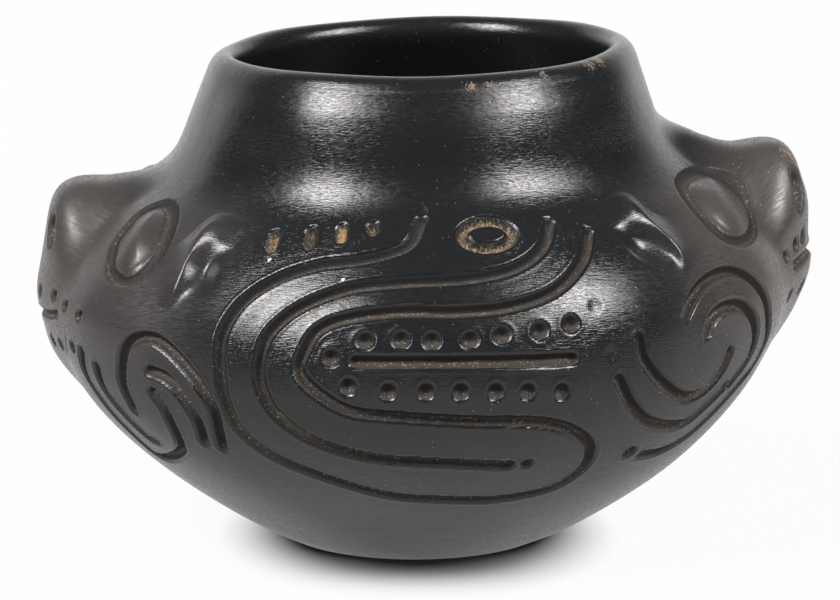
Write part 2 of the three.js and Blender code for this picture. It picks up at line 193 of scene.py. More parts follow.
# The photograph: its frame, and the camera that fits the bowl's outline in it.
PHOTO_WIDTH = 840
PHOTO_HEIGHT = 600
FOCAL_PIXELS = 3952
SENSOR_MM = 36
EYE_DISTANCE = 1000
EYE_HEIGHT = 272
EYE_AZIMUTH = math.radians(-4)
AIM_ASIDE = 1.34
AIM_HEIGHT = 59.72

# The heads. Heights stand off the pushed-out wall, and crests, rings and dots are pixels of the photograph.
LEFT = SimpleNamespace(
    name="left",
    facing=math.pi,
    mouth_up=4.5,
    mouth_droop=-4,
    mouth_half_length=23,
    nose_up=30,
    jaw_end_below_belly=24,
    chin_height=2.6,
    lower_lip_height=2.1,
    upper_lip_height=2.7,
    nose_root_height=6.2,
    nose_under_height=8.6,
    nose_height=12.8,
    bridge_height=6.2,
    brow_height=0,
    hollow_from_crest=4.2,
    hollow_depth=1.5,
    ear_crest=[(236, 209), (223, 215), (201, 237), (188, 256), (179, 274), (170, 292), (157, 309)],
    eye_ring=[(163, 203), (172, 211), (170, 228), (160, 249), (147, 268), (132, 280), (119, 281), (110, 271),
              (110, 258), (115, 244), (128, 224), (144, 210)],
    nostril=[(51, 223), (49, 238)],
    whiskers=[(39, 289), (53, 295), (66, 306), (80, 316)],
    chin_dots=[(52, 339), (61, 344), (72, 346)],
)
RIGHT = SimpleNamespace(
    name="right",
    facing=0,
    mouth_up=11.5,
    mouth_droop=0,
    mouth_half_length=19,
    nose_up=29.8,
    jaw_end_below_belly=32,
    chin_height=4.8,
    lower_lip_height=6.2,
    upper_lip_height=7.1,
    nose_root_height=10.4,
    nose_under_height=12.4,
    nose_height=17,
    bridge_height=9,
    brow_height=5.4,
    hollow_from_crest=6,
    hollow_depth=2,
    ear_crest=[(613, 189), (626, 197), (641, 212), (666, 233), (684, 251), (690, 263), (690, 273)],
    eye_ring=[(698, 170), (720, 176), (741, 193), (754, 214), (755, 230), (742, 241), (724, 236), (704, 218),
              (687, 197), (684, 180)],
    nostril=[(797, 180), (801, 202)],
    whiskers=[(804, 234), (797, 243), (788, 255)],
    chin_dots=[(803, 285), (792, 294)],
)
HEADS = [LEFT, RIGHT]

# Lines drawn on the panel and under the heads, as in the part's source: degrees round from the front, to the
# right, and millimetres up the wall from the belly.
OUTER_SCROLL = [
    (-4, 45.5), (-5.5, 39), (-8.5, 36), (-14.5, 33.5), (-21.5, 32), (-28, 28), (-33, 21.5), (-35.5, 13.5),
    (-35.5, 6.5), (-34.5, -4), (-33, -12.5), (-28.5, -21), (-19.5, -29), (-9.5, -35.5), (0.5, -37.5),
    (11.5, -38.5), (21.5, -35.5), (26, -28.5), (25.5, -20), (20.5, -13), (14, -9.5), (3.5, -8), (-6.5, -6.5),
    (-14, -5), (-19, -0.5), (-22, 4.5), (-21.5, 9.5), (-19.5, 15), (-15, 18), (-7, 19.5), (1.5, 19),
    (10, 19.5), (18, 22.5), (24.5, 29.5), (28.5, 37.5),
]
INNER_SCROLL = [
    (21.5, 42), (18, 34.5), (12, 29.5), (4, 27.5), (-7, 27), (-15.5, 25.5), (-23, 20.5), (-27.5, 13.5),
    (-28.5, 6.5), (-28, 0), (-25.5, -7.5), (-20, -14.5), (-11, -19.5), (0, -21.5), (11.5, -23.5),
]
BAR = [(-13.5, 7.5), (2, 7), (19.5, 5.5)]
LEFT_SCROLLS = [
    [(-56, -13), (-56, -6), (-55, 0), (-54, 5.5), (-52, 8.5), (-48.5, 9), (-44, 5.5), (-39.5, -0.5),
     (-37, -8), (-38, -20.5)],
    [(-49, 0.5), (-45.5, -1), (-42.5, -6), (-41, -12), (-41.5, -19.5)],
    [(-49, -5.5), (-47.5, -10.5), (-47.5, -18.5), (-49.5, -25.5), (-56.5, -31.5), (-62.5, -32.5),
     (-65, -24.5), (-67, -16.5), (-68.5, -7.5), (-66, 1)],
    [(-62, -2), (-63, -9), (-60.5, -17), (-58, -23.5), (-56, -24.5)],
]
RIGHT_SCROLLS = [
    [(41.5, 11), (44.5, 15), (48.5, 18), (53.5, 19), (57.5, 16.5), (60.5, 11.5), (63, 4.5), (65.5, -3),
     (65, -9.5), (60.5, -14), (56, -19.5), (51.5, -25.5), (45.5, -28.5), (39.5, -27.5)],
    [(46, 5.5), (47.5, 8.5), (51, 10.5), (55, 9.5), (58, 5), (59.5, 0), (59.5, -5.5), (56.5, -10.5)],
    [(31.5, 8), (32.5, 2), (36.5, -4.5), (42, -9.5), (47, -9.5), (50.5, -6), (52, -1)],
    [(27.5, -1), (30.5, -8), (35.5, -14.5), (42, -18), (47, -18.5), (51, -14.5), (54.5, -11)],
]
PANEL_RING = (8.5, 40)
PANEL_RING_HALF_BREADTH = 6.2
PANEL_RING_HALF_HEIGHT = 4.2
RING_POINTS = 12

# Small marks and spots, as pixels of the photograph. Spots have a radius in millimetres as well.
SCROLL_PIN_POINT = (527, 463)
PANEL_DOTS = [
    (365, 341), (401, 340), (432, 341), (470, 340), (502, 335), (540, 331), (571, 324), (331, 358),
    (348, 387), (388, 392), (426, 392), (461, 392), (496, 392), (528, 392), (562, 392),
]
TAN_OVALS = [
    [(274, 234), (270, 247)], [(311, 231), (309, 244)], [(342, 229), (341, 238)], [(373, 227), (373, 231)],
]
TAN_SHARES = [0.7, 0.4, 1, 0.5]
PANEL_DIMPLES = [(420, 211), (595, 306), (612, 353)]
SCROLL_END_DOT = (630, 452)
WORN_SPOTS = [((789, 155), 3.5)]
CHIPPED_SPOTS = [((269, 259), 0.8), ((343, 280), 0.7)]
# Worn places of the lip: degrees round from the front, millimetres past the wall's top, radius.
WORN_LIP = [(51, 4.5, 3.5), (46, 4, 3.5), (29, 3.5, 2.5), (13, 2, 2), (8, 1.5, 2.5)]


def smooth(x, low, high):
    """Rises from 0 at low to 1 at high, level at both ends."""
    share = np.clip((x - low) / (high - low), 0, 1)
    return share * share * (3 - 2 * share)


def swelling(across):
    """Rounded section that fades out at -1 and 1."""
    return (1 + np.cos(np.pi * np.clip(across, -1, 1))) / 2


def curve_through(x, xs, ys):
    """A smooth curve through points, level at both ends."""
    xs, ys = np.array(xs, float), np.array(ys, float)
    slopes = np.gradient(ys, xs)
    slopes[[0, -1]] = 0
    span = np.clip(np.searchsorted(xs, x) - 1, 0, len(xs) - 2)
    width = xs[span + 1] - xs[span]
    t = np.clip((x - xs[span]) / width, 0, 1)
    ends = ys[span] * (1 + 2 * t) * (1 - t) ** 2 + ys[span + 1] * t * t * (3 - 2 * t)
    return ends + width * (slopes[span] * t * (1 - t) ** 2 - slopes[span + 1] * t * t * (1 - t))


def turn_between(angle, other):
    """How far it is round the axis from one angle to another, from minus half a turn to half a turn."""
    return (angle - other + np.pi) % (2 * np.pi) - np.pi


# The outline of the turned form: radius and height at distances up the wall from the belly.
def direction(slope):
    return np.array([math.cos(slope), math.sin(slope)])


def bend(start, start_direction, start_pull, end, end_direction, end_pull):
    """Points on a curve that leaves its start along one direction and reaches its end along another."""
    t = np.linspace(0, 1, CURVE_POINTS)[:, None]
    leaving = start + start_direction * start_pull
    arriving = end - end_direction * end_pull
    return (1 - t) ** 3 * start + 3 * (1 - t) ** 2 * t * leaving + 3 * (1 - t) * t**2 * arriving + t**3 * end


foot = np.array([FOOT_RADIUS, 0.0])
belly = np.array([BELLY_RADIUS, BOWL_RISE])
shoulder = np.array([SHOULDER_RADIUS, BOWL_RISE + SHOULDER_RISE])
neck = np.array([NECK_RADIUS, BOWL_RISE + SHOULDER_RISE + ROOT_RISE])
lip = np.array([LIP_RADIUS, BOWL_RISE + SHOULDER_RISE + ROOT_RISE + NECK_RISE])
straight_up = direction(math.pi / 2)
over_shoulder = direction(math.pi - SHOULDER_SLOPE)
up_neck = (lip - neck) / np.linalg.norm(lip - neck)
bowl_curve = bend(foot, direction(FOOT_SLOPE), FOOT_PULL, belly, straight_up, BELLY_PULL_DOWN)
shoulder_curve = bend(belly, straight_up, BELLY_PULL_UP, shoulder, over_shoulder, SHOULDER_PULL)
root_curve = bend(shoulder, over_shoulder, ROOT_PULL, neck, up_neck, ROOT_PULL)
neck_line = np.linspace(neck, lip, CURVE_POINTS)
outline = np.vstack([bowl_curve[:-1], shoulder_curve[:-1], root_curve[:-1], neck_line])
outline_steps = np.linalg.norm(np.diff(outline, axis=0), axis=1)
outline_ups = np.concatenate([[0], np.cumsum(outline_steps)])
outline_ups -= outline_ups[CURVE_POINTS - 1]
outline_tangents = np.gradient(outline, outline_ups, axis=0)
FOOT_UP = outline_ups[0]
LIP_UP = outline_ups[-1]


def wall_point(up, lift):
    """Radius and height of a point that stands off the turned form's outer face by lift."""
    columns = [*outline.T, *outline_tangents.T]
    radius, height, run, rise = (np.interp(up, outline_ups, column) for column in columns)
    return radius + lift * rise, height - lift * run


def up_at(height, lift):
    """Distance up the wall at which a face of it reaches a height."""
    return float(np.interp(height, wall_point(outline_ups, lift)[1], outline_ups))


def facing_a_head(angle, height, full_angle, edge_angle):
    """From 0 to 1, how far a place belongs to the face behind a head."""
    above_belly = height - BOWL_RISE
    rising = smooth(above_belly, -FACE_BELOW_BELLY, FACE_FULL_ABOVE_BELLY)
    falling = smooth(above_belly, FACE_TOP_FULL_ABOVE_BELLY, FACE_TOP_ABOVE_BELLY)
    beside = smooth(np.arccos(np.abs(np.cos(angle))), full_angle, edge_angle)
    return rising * (1 - falling) * (1 - beside)


def hand_built(angle, radius, height):
    """Where the hand-built vessel has a point of the turned form."""
    above_belly = height - BOWL_RISE
    grown = radius + FACE_SWELL * facing_a_head(angle, height, FACE_FULL_ANGLE, FACE_EDGE_ANGLE)
    x = grown * np.cos(angle)
    tilting = smooth(above_belly, -TILT_START_BELOW_BELLY, TILT_FULL_ABOVE_BELLY)
    wave = sum(rise * np.sin(turns * angle + phase) for turns, rise, phase in LIP_WAVES)
    wave = wave * smooth(above_belly, LIP_WAVE_START_ABOVE_BELLY, LIP_WAVE_FULL_ABOVE_BELLY)
    return np.stack([x + LEAN * height, grown * np.sin(angle), height + TILT * x * tilting + wave], -1)


def surface(angle, up, lift):
    return hand_built(angle, *wall_point(up, lift))


def unevenness(angle, up):
    """Slow waves in the wall, and a neck that is fuller at its front and back than at its sides."""
    waves = sum(rise * np.sin(turns * angle + per_mm * up + at) for turns, per_mm, rise, at in WALL_WAVES)
    from_front_or_back = np.arcsin(np.abs(np.cos(angle)))
    from_fullest = up - LIP_UP + NECK_FULLEST_BELOW_LIP
    below = swelling(from_fullest / (NECK_FULL_FROM_BELOW_LIP - NECK_FULLEST_BELOW_LIP))
    above = 1 - LIP_FALL_SHARE * smooth(from_fullest, 0, NECK_FULLEST_BELOW_LIP)
    fullness = NECK_FULLNESS * np.where(from_fullest > 0, above, below)
    fullness = fullness * (1 - smooth(from_front_or_back, NECK_FULL_ANGLE, NECK_PLAIN_ANGLE))
    return fullness + waves * smooth(up, FOOT_UP, FOOT_UP + EVEN_ABOVE_FOOT)


# The camera of the photograph, and places on the clay that its pixels show.
eye = np.array([EYE_DISTANCE * math.sin(EYE_AZIMUTH), -EYE_DISTANCE * math.cos(EYE_AZIMUTH), EYE_HEIGHT])
aim = np.array([AIM_ASIDE * math.cos(EYE_AZIMUTH), AIM_ASIDE * math.sin(EYE_AZIMUTH), AIM_HEIGHT])
sight = (aim - eye) / np.linalg.norm(aim - eye)
sight_right = np.cross(sight, [0, 0, 1])
sight_right /= np.linalg.norm(sight_right)
sight_up = np.cross(sight_right, sight)

# The grid of places that it may show, in degrees and millimetres, and how many pixels count as one.
FRONT_FROM = -195
FRONT_TO = 15
FRONT_STEP = 0.6
FRONT_UP_STEP = 1
SAME_PIXEL = 2
FRONT_ANGLES = np.radians(np.arange(FRONT_FROM, FRONT_TO, FRONT_STEP))
FRONT_UPS = np.arange(FOOT_UP, LIP_UP, FRONT_UP_STEP)


class FrontView:
    """What the photograph's camera sees of the clay, to find the places that pixels show."""

    def __init__(self, lift):
        angles, ups = np.meshgrid(FRONT_ANGLES, FRONT_UPS)
        points = surface(angles, ups, lift(angles, ups))
        self.depths = (points - eye) @ sight
        right = FOCAL_PIXELS * ((points - eye) @ sight_right) / self.depths
        down = -FOCAL_PIXELS * ((points - eye) @ sight_up) / self.depths
        self.pixels = np.stack([PHOTO_WIDTH / 2 + right, PHOTO_HEIGHT / 2 + down], -1)
        normals = np.cross(np.gradient(points, axis=1), np.gradient(points, axis=0))
        self.hidden = ((eye - points) * normals).sum(-1) <= 0

    def place(self, pixel):
        misses = np.linalg.norm(self.pixels - pixel, axis=-1) + np.where(self.hidden, PHOTO_WIDTH, 0)
        near = misses < misses.min() + SAME_PIXEL
        row, column = np.unravel_index(np.where(near, self.depths, np.inf).argmin(), misses.shape)
        row = np.clip(row, 1, len(FRONT_UPS) - 2)
        column = np.clip(column, 1, len(FRONT_ANGLES) - 2)
        per_column = (self.pixels[row, column + 1] - self.pixels[row, column - 1]) / 2
        per_row = (self.pixels[row + 1, column] - self.pixels[row - 1, column]) / 2
        miss = np.array(pixel) - self.pixels[row, column]
        shift = np.clip(np.linalg.lstsq(np.stack([per_column, per_row], -1), miss, rcond=None)[0], -1, 1)
        angle = np.interp(column + shift[0], np.arange(len(FRONT_ANGLES)), FRONT_ANGLES)
        up = np.interp(row + shift[1], np.arange(len(FRONT_UPS)), FRONT_UPS)
        return angle, up

    def places(self, pixels):
        return np.array([self.place(pixel) for pixel in pixels])


def smooth_path(places, closed=False):
    """A smooth line of angles and ups through places, in steps of about MARK_STEP."""
    if len(places) == 1:
        return places
    if closed:
        knots = np.vstack([places[-1:], places, places[:2]])
    else:
        knots = np.vstack([2 * places[:1] - places[1:2], places, 2 * places[-1:] - places[-2:-1]])
    t = np.linspace(0, 1, CURVE_POINTS)[:, None]
    spans = [
        b + (c - a) * t / 2 + (2 * a - 5 * b + 4 * c - d) * t**2 / 2 + (3 * b - a - 3 * c + d) * t**3 / 2
        for a, b, c, d in zip(knots, knots[1:], knots[2:], knots[3:])
    ]
    dense = np.vstack(spans)
    steps = np.hypot(np.diff(dense[:, 0]) * BELLY_RADIUS, np.diff(dense[:, 1]))
    run = np.concatenate([[0], np.cumsum(steps)])
    stops = np.linspace(0, run[-1], max(2, round(run[-1] / MARK_STEP)))
    return np.stack([np.interp(stops, run, dense[:, 0]), np.interp(stops, run, dense[:, 1])], -1)


# Forms of the heads. A folded angle runs from a head's own plane to either side, so both sides are alike.
def folded(head, angle):
    return np.abs(turn_between(angle, head.facing))


def ridge_rows(head):
    """Distances up the wall, heights and half breadths along the ridge of a head, from under the jaw up."""
    return np.array([
        (-head.jaw_end_below_belly, 0, JAW_END_HALF_BREADTH),
        (head.mouth_up - CHIN_BELOW_MOUTH, head.chin_height, CHIN_HALF_BREADTH),
        (head.mouth_up - LIP_ROUNDING, head.lower_lip_height, LIP_HALF_BREADTH),
        (head.mouth_up + LIP_ROUNDING, head.upper_lip_height, LIP_HALF_BREADTH),
        (head.nose_up - NOSE_ROOT_BELOW, head.nose_root_height, LIP_HALF_BREADTH),
        (head.nose_up - NOSE_UNDER_BELOW, head.nose_under_height, NOSE_UNDER_HALF_BREADTH),
        (head.nose_up, head.nose_height, NOSE_HALF_BREADTH),
        (head.nose_up + BRIDGE_ABOVE_NOSE, head.bridge_height, BRIDGE_HALF_BREADTH),
        (head.nose_up + BROW_ABOVE_NOSE, head.brow_height, BROW_HALF_BREADTH),
        (head.nose_up + MUZZLE_TOP_ABOVE_NOSE, 0, MUZZLE_TOP_HALF_BREADTH),
    ])


def ridge_half_breadth(head, up):
    ups, _, breadths = ridge_rows(head).T
    return curve_through(up, ups, breadths)


def ridge(head, angle, up):
    """Height of the jaw, lips, nose and brow of a head."""
    ups, heights, _ = ridge_rows(head).T
    across = folded(head, angle) * wall_point(up, 0)[0] / ridge_half_breadth(head, up)
    block = swelling(across**NOSE_FULLNESS)
    above_lip = smooth(up, head.mouth_up + LIP_ROUNDING, head.nose_up - NOSE_ROOT_BELOW / 2)
    below_brow = 1 - smooth(up, head.nose_up + BRIDGE_ABOVE_NOSE / 2, head.nose_up + BROW_ABOVE_NOSE)
    blocked = above_lip * below_brow
    section = blocked * block + (1 - blocked) * swelling(across)
    inside = (up > ups[0]) & (up < ups[-1]) & (across < 1)
    return np.where(inside, np.maximum(curve_through(up, ups, heights), 0) * section, 0)


def all_ridges(angle, up):
    return sum(ridge(head, angle, up) for head in HEADS)


class Ear:
    """The crest of an ear, and the forms on both sides of it. Lengths run along the line between its ends."""

    def __init__(self, head, path):
        self.head = head
        self.top = np.array([folded(head, path[0, 0]), path[0, 1]])
        self.radius = wall_point(path[:, 1].mean(), 0)[0]
        crest = self.from_top(folded(head, path[:, 0]), path[:, 1])
        self.length = np.linalg.norm(crest[-1])
        self.run = crest[-1] / self.length
        self.aside = np.array([-self.run[1], self.run[0]])
        self.aside *= np.sign(self.aside[0])
        self.stops = crest @ self.run
        self.bends = crest @ self.aside

    def from_top(self, fold, up):
        return np.stack([(fold - self.top[0]) * self.radius, up - self.top[1]], -1)

    def locate(self, angle, up):
        """Share of the way along the crest, and distance from it towards the panel."""
        place = self.from_top(folded(self.head, angle), up)
        along = place @ self.run
        return along / self.length, place @ self.aside - np.interp(along, self.stops, self.bends)

    def place(self, along, beyond):
        """Folded angle and distance up at a length along the crest and a distance from it."""
        offset = beyond + np.interp(along, self.stops, self.bends)
        place = along[..., None] * self.run + offset[..., None] * self.aside
        return self.top[0] + place[..., 0] / self.radius, self.top[1] + place[..., 1]

    def where_near(self, angle, up, form):
        """A form of the ear at places, worked out only for those that may be near it."""
        share, beyond = self.locate(angle, up)
        near = (share > -EAR_NEAR_SHARE) & (share < 1 + EAR_NEAR_SHARE)
        near = near & (np.abs(beyond) < EAR_NEAR_DISTANCE)
        heights = np.zeros(np.shape(angle))
        heights[near] = form(share[near], beyond[near])
        return heights

    def ridge(self, share, beyond):
        finger = 1 - smooth(share, EAR_FINGER_SHARE, EAR_CRISP_SHARE)
        to_panel = finger * EAR_FINGER_PANEL_BREADTH + (1 - finger) * EAR_PANEL_BREADTH
        to_cheek = finger * EAR_FINGER_CHEEK_BREADTH + (1 - finger) * EAR_CHEEK_BREADTH
        across = np.where(beyond > 0, beyond / to_panel, -beyond / to_cheek)
        section = finger * swelling(across) + (1 - finger) * np.clip(1 - across, 0, 1) ** 2
        return EAR_HEIGHT * section * curve_through(share, EAR_SHARES, EAR_HEIGHT_SHARES)

    def hollow(self, share, beyond):
        along = (share - HOLLOW_SHARE) * self.length / HOLLOW_HALF_LENGTH
        aside = beyond - self.head.hollow_from_crest
        aside = aside / np.where(aside < 0, self.head.hollow_from_crest, HOLLOW_PANEL_BREADTH)
        return -self.head.hollow_depth * swelling(np.hypot(along, aside))

    def cover(self, share, beyond):
        inset = np.minimum(beyond + EAR_CHEEK_BREADTH, EAR_FINGER_PANEL_BREADTH - beyond)
        inset = np.minimum(inset, np.minimum(share, 1 - share) * self.length + EAR_PAST_CREST)
        return smooth(inset, 0, UNDERLAP_RUN)


class Eye:
    """The ring cut round an eye, as a closed path of folded angles and ups, and the almond inside it."""

    def __init__(self, head, path):
        self.head = head
        self.path = np.stack([folded(head, path[:, 0]), path[:, 1]], -1)
        self.centre = self.path.mean(0)
        self.radius = wall_point(self.centre[1], 0)[0]
        spokes = (self.path - self.centre) * [self.radius, 1]
        turns = np.arctan2(spokes[:, 1], spokes[:, 0])
        order = turns.argsort()
        self.turns = turns[order]
        self.reaches = np.hypot(*spokes.T)[order]
        lengths, axes = np.linalg.eigh(np.cov(spokes.T))
        self.short_axis = axes[:, 0] * np.sign(axes[1, 0])
        # Points round an ellipse spread by half the square of its half breadth.
        self.half_breadth = math.sqrt(2 * lengths[0])

    def locate(self, angle, up):
        """Share of the way from the middle to the ring, and share across the almond, upwards."""
        across = (folded(self.head, angle) - self.centre[0]) * self.radius
        along = up - self.centre[1]
        reach = np.interp(np.arctan2(along, across), self.turns, self.reaches, period=2 * np.pi)
        aside = (across * self.short_axis[0] + along * self.short_axis[1]) / self.half_breadth
        return np.hypot(across, along) / reach, aside

    def almond(self, angle, up):
        share, aside = self.locate(angle, up)
        dome = np.clip(1 - (share / ALMOND_EDGE) ** 2, 0, 1)
        roof = np.clip(1 - ALMOND_ROOF_FALL * np.abs(aside - ALMOND_CREST_ASIDE), 0, 1)
        return ALMOND_HEIGHT * dome**ALMOND_FULLNESS * roof

    def cover(self, angle, up):
        share, _ = self.locate(angle, up)
        return smooth((1 - share) * self.half_breadth, 0, UNDERLAP_RUN)


bare_front = FrontView(lambda angle, up: all_ridges(angle, up) + EAR_HEIGHT)
ears = {head.name: Ear(head, smooth_path(bare_front.places(head.ear_crest))) for head in HEADS}


def all_ears(angle, up):
    return sum(ear.where_near(angle, up, ear.ridge) for ear in ears.values())


def hollows(angle, up):
    return sum(ear.where_near(angle, up, ear.hollow) for ear in ears.values())


front = FrontView(lambda angle, up: all_ridges(angle, up) + all_ears(angle, up) + hollows(angle, up))
eyes = {head.name: Eye(head, smooth_path(front.places(head.eye_ring), closed=True)) for head in HEADS}

# The grid of the whole wall: angles round it, and rows that meet the joints between the courses.
PAT_HEIGHT = wall_point(FOOT_UP, -WALL)[1] + PAT_ABOVE_FLOOR
COLLAR_HEIGHT = BOWL_RISE + SHOULDER_RISE + COLLAR_ABOVE_SHOULDER
COIL_HEIGHT = wall_point(LIP_UP, -WALL)[1] - COIL_BELOW_INNER_LIP
JOINT_HEIGHTS = [PAT_HEIGHT, BOWL_RISE, COLLAR_HEIGHT, COIL_HEIGHT]


def stops_between(marks, step):
    """Even stops of about one step from each mark to the next, and the index of each mark."""
    runs = [np.linspace(a, b, max(2, math.ceil(abs(b - a) / step) + 1)) for a, b in zip(marks, marks[1:])]
    stops = np.concatenate([run[:-1] for run in runs] + [[marks[-1]]])
    return stops, np.cumsum([0] + [len(run) - 1 for run in runs])


# The columns start at the back, so that their seam is out of sight.
angles = np.pi / 2 + 2 * np.pi * np.arange(COLUMNS) / COLUMNS
outer_ups, outer_marks = stops_between([FOOT_UP, *(up_at(h, 0) for h in JOINT_HEIGHTS), LIP_UP], ROW_STEP)
inner_ups, inner_marks = stops_between(
    [LIP_UP, *(up_at(h, -WALL) for h in reversed(JOINT_HEIGHTS)), FOOT_UP], INNER_STEP
)
outer_radii = wall_point(outer_ups, 0)[0]


class Marks:
    """Marks in the wall's grid: how near the nearest is, in half breadths, its depth, floor and tan fill."""

    def __init__(self):
        self.near = np.full((len(outer_ups), COLUMNS), np.inf)
        self.deep = np.zeros(self.near.shape)
        self.flatness = np.ones(self.near.shape)
        self.tan = np.zeros(self.near.shape)

    def press(self, path, tool):
        reach = MARK_REACH * tool.half_breadth
        for angle, up in path:
            rows = slice(*np.searchsorted(outer_ups, [up - reach, up + reach]))
            if rows.start == rows.stop:
                continue
            half_turn = reach / outer_radii[rows].min()
            first = math.floor((angle - half_turn - angles[0]) / (2 * np.pi) * COLUMNS)
            columns = np.arange(first, first + math.ceil(half_turn / np.pi * COLUMNS) + 2) % COLUMNS
            across = turn_between(angles[columns], angle)[None, :] * outer_radii[rows, None]
            near = np.hypot(across, outer_ups[rows, None] - up) / tool.half_breadth
            window = np.ix_(np.arange(rows.start, rows.stop), columns)
            closer = near < self.near[window]
            self.near[window] = np.where(closer, near, self.near[window])
            fields = (self.deep, self.flatness, self.tan)
            for field, value in zip(fields, (tool.depth, tool.flatness, tool.tan)):
                field[window] = np.where(closer, value, field[window])

    def press_twice(self, path, tool):
        """The same mark on the front and, half a turn on, on the back."""
        for turn in (0, np.pi):
            self.press(path + [turn, 0], tool)

    def press_beside(self, head, path, tool):
        """The same mark on both sides of a head."""
        for side in (-1, 1):
            mirrored = np.stack([head.facing + side * folded(head, path[:, 0]), path[:, 1]], -1)
            self.press(mirrored, tool)

    def share(self):
        return 1 - np.clip(self.near, 0, 1) ** self.flatness

    def relief(self):
        off_burr = (self.near - BURR_AT) / BURR_SPREAD
        burr = BURR_HEIGHT * np.exp(-(off_burr**2)) * (self.deep > BURR_FROM_DEPTH)
        return burr - self.deep * self.share()


def wall_places(places):
    """Angles and ups of places that are given in degrees round from the front, to the right."""
    turns, ups = np.array(places, float).T
    return np.stack([np.radians(turns) - np.pi / 2, ups], -1)


def ring_places():
    middle = wall_places([PANEL_RING])
    turns = np.linspace(0, 2 * np.pi, RING_POINTS, endpoint=False)
    aside = PANEL_RING_HALF_BREADTH / wall_point(PANEL_RING[1], 0)[0]
    return middle + np.stack([aside * np.cos(turns), PANEL_RING_HALF_HEIGHT * np.sin(turns)], -1)


def mouth_droop(head, across):
    """How far the mouth's line lies below its middle. Its corners rise where this is below zero."""
    return head.mouth_droop * (across / MOUTH_DROOP_REACH) ** 2


def mouth_path(head):
    across = np.arange(-head.mouth_half_length, head.mouth_half_length, MARK_STEP)
    return np.stack([head.facing + across / BELLY_RADIUS, head.mouth_up - mouth_droop(head, across)], -1)


def carve():
    marks = Marks()
    for line in [OUTER_SCROLL, INNER_SCROLL, BAR, *LEFT_SCROLLS, *RIGHT_SCROLLS]:
        marks.press_twice(smooth_path(wall_places(line)), LINE)
    marks.press_twice(smooth_path(ring_places(), closed=True), RING)
    for dot in [*PANEL_DOTS, SCROLL_END_DOT]:
        marks.press_twice(front.places([dot]), DOT)
    marks.press_twice(front.places([SCROLL_PIN_POINT]), LINE)
    for oval, tan in zip(TAN_OVALS, TAN_SHARES):
        marks.press_twice(smooth_path(front.places(oval)), LINE._replace(tan=tan))
    for dimple in PANEL_DIMPLES:
        marks.press_twice(front.places([dimple]), DIMPLE)
    for head in HEADS:
        marks.press_beside(head, eyes[head.name].path + [head.facing, 0], EYE_LINE)
        marks.press_beside(head, smooth_path(front.places(head.nostril)), NOSTRIL)
        for dot in [*head.whiskers, *head.chin_dots]:
            marks.press_beside(head, front.places([dot]), WHISKER)
        marks.press(mouth_path(head), MOUTH)
    return marks


marks = carve()
mark_relief = marks.relief()
mark_share = marks.share() * (marks.deep > DIMPLE.depth)
mark_tan = marks.tan * mark_share
# Up-facing walls and floors of marks take dust and painted light, down-facing walls take painted shade.
mark_dust_and_light = mark_share * (1 - smooth(np.gradient(mark_relief, outer_ups, axis=0), *DUST_AND_LIGHT_SLOPES))


def on_grid(values, angle, up):
    """A value of the wall's grid between its points."""
    column = ((angle - angles[0]) / (2 * np.pi) * COLUMNS) % COLUMNS
    row = np.interp(up, outer_ups, np.arange(len(outer_ups)))
    left, low = column.astype(int), np.minimum(row.astype(int), len(outer_ups) - 2)
    right = (left + 1) % COLUMNS
    aside, above = column - left, row - low
    lower = values[low, left] * (1 - aside) + values[low, right] * aside
    upper = values[low + 1, left] * (1 - aside) + values[low + 1, right] * aside
    return lower * (1 - above) + upper * above


def wall_lift(angle, up):
    """Height of the carved wall without the applied pieces."""
    return unevenness(angle, up) + hollows(angle, up) + on_grid(mark_relief, angle, up)


def clay_lift(angle, up):
    """Height of the carved clay, applied pieces included."""
    almonds = sum(eye_form.almond(angle, up) for eye_form in eyes.values())
    return wall_lift(angle, up) + all_ridges(angle, up) + all_ears(angle, up) + almonds


def under_applied(angle, up):
    """From 0 to 1, how far a place of the wall lies under an applied piece."""
    covers = []
    for head in HEADS:
        ups = ridge_rows(head)[:, 0]
        inset = ridge_half_breadth(head, up) - folded(head, angle) * wall_point(up, 0)[0]
        inset = np.minimum(inset, np.minimum(up - ups[0], ups[-1] - up))
        covers.append(smooth(inset, 0, UNDERLAP_RUN))
        covers.append(ears[head.name].where_near(angle, up, ears[head.name].cover))
        covers.append(eyes[head.name].cover(angle, up))
    return np.max(covers, axis=0)


class Skin(NamedTuple):
    """Rows of points that run round a piece, with a normal and a place on the wall at every point."""

    points: np.ndarray
    normals: np.ndarray
    angles: np.ndarray
    ups: np.ndarray

    def rows(self, first, last):
        return Skin(*(field[first : last + 1] for field in self))

    def flipped(self, axis):
        return Skin(*(np.flip(field, axis) for field in self))


def one_skin(skins, axis=0):
    return Skin(*(np.concatenate(fields, axis) for fields in zip(*skins)))


def unit(vectors):
    return vectors / np.linalg.norm(vectors, axis=-1, keepdims=True)


def round_normals(points):
    """Outward normals of rows of points that run all the way round."""
    across = np.roll(points, -1, 1) - np.roll(points, 1, 1)
    return unit(np.cross(across, np.gradient(points, axis=0)))


